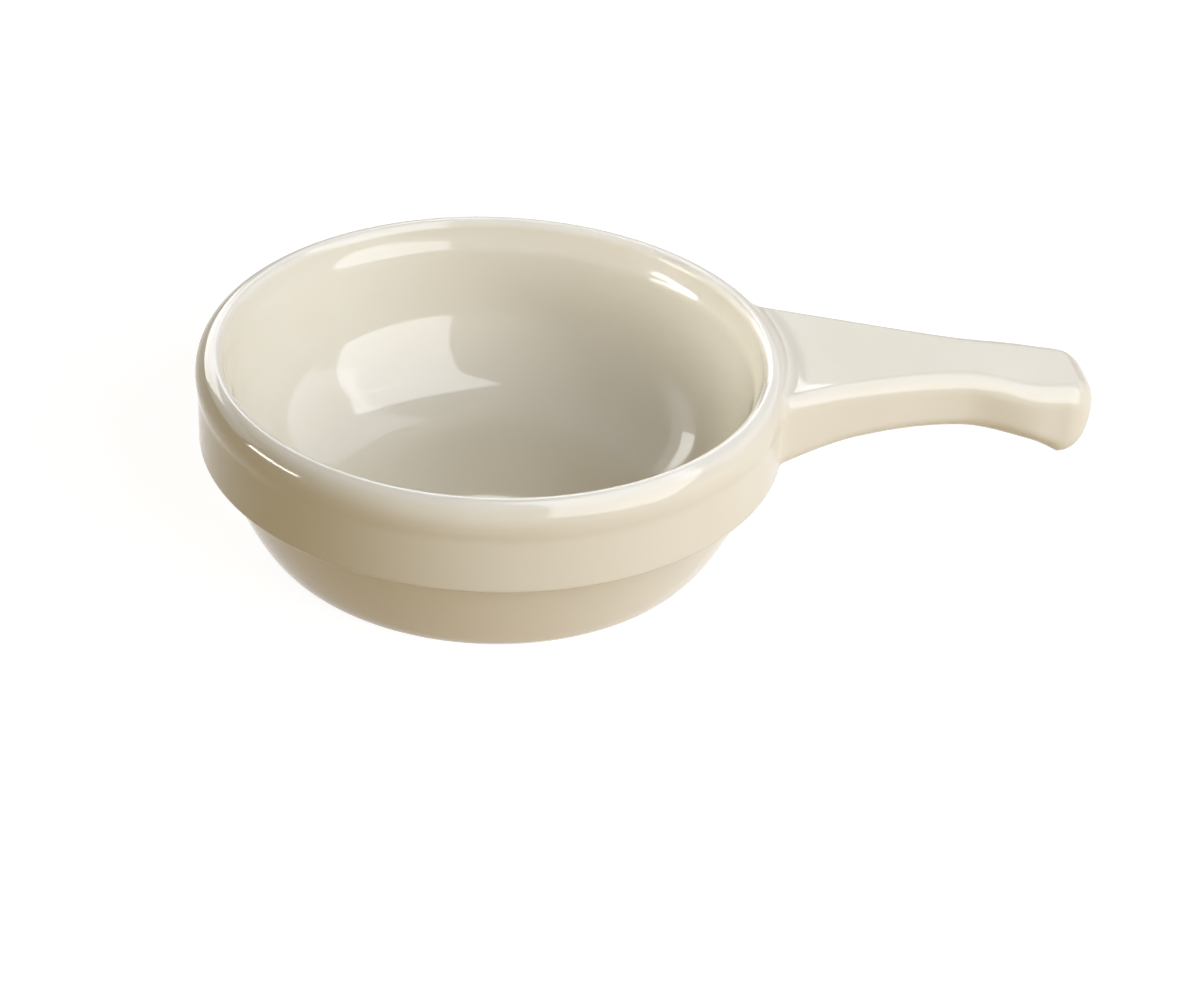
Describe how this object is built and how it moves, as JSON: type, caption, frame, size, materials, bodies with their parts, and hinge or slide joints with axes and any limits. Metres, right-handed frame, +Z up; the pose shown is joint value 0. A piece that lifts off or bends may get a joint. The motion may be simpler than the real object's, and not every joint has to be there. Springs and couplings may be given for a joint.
{
  "type": "casserole bowl",
  "caption": "Round glazed ceramic casserole bowl with a beaded rim, an upright band stepped in over a rounded lower wall, and a stub handle that droops at its tip.",
  "frame": {"origin": "on the bowl's axis, in the plane of the base that stands on the table", "axes": "+X from the bowl's axis along the handle to its tip, +Z up out of the bowl's mouth"},
  "size_m": [0.1954, 0.127, 0.0428],
  "materials": {
    "glazed_bowl": "glossy ivory glaze",
    "glazed_handle": "glossy ivory glaze",
    "slip_joint": "slip fired under the glaze"
  },
  "bodies": {
    "root": {"bowl_body": "glazed_bowl", "handle": "glazed_handle", "luting_slip": "slip_joint"}
  },
  "joints": []
}
